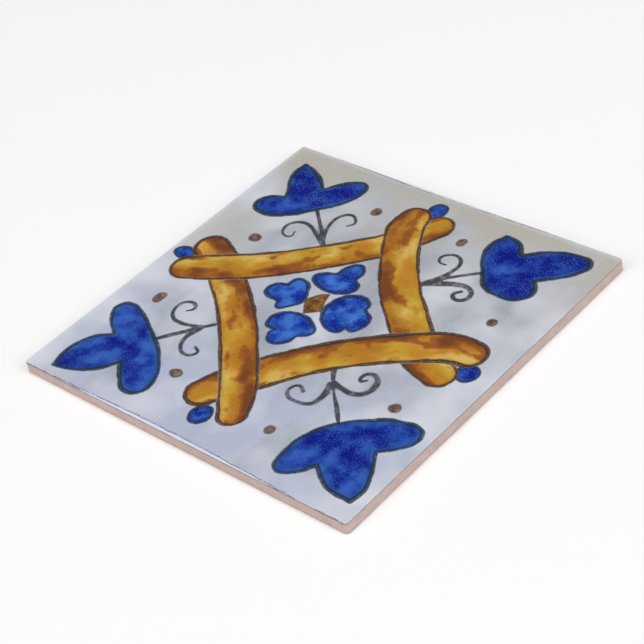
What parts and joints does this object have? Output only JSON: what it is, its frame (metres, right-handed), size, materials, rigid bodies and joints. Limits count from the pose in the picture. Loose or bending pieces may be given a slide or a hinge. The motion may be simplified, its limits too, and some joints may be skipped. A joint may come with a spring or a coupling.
{
  "type": "square glazed ceramic wall tile",
  "caption": "Square glazed ceramic wall tile with a traditional hand-painted majolica pattern, softly rolled face edges, bare clay sides and a pressed keying back.",
  "frame": {"origin": "middle of the tile in plan, on the plane of its back", "axes": "+Z out of the glazed face, X and Y along the edges; the painted face's near corner in the picture is at +X, -Y"},
  "size_m": [0.152, 0.152, 0.005],
  "materials": {
    "glazed_clay": "gloss"
  },
  "bodies": {
    "root": {"tile": "glazed_clay"}
  },
  "joints": []
}
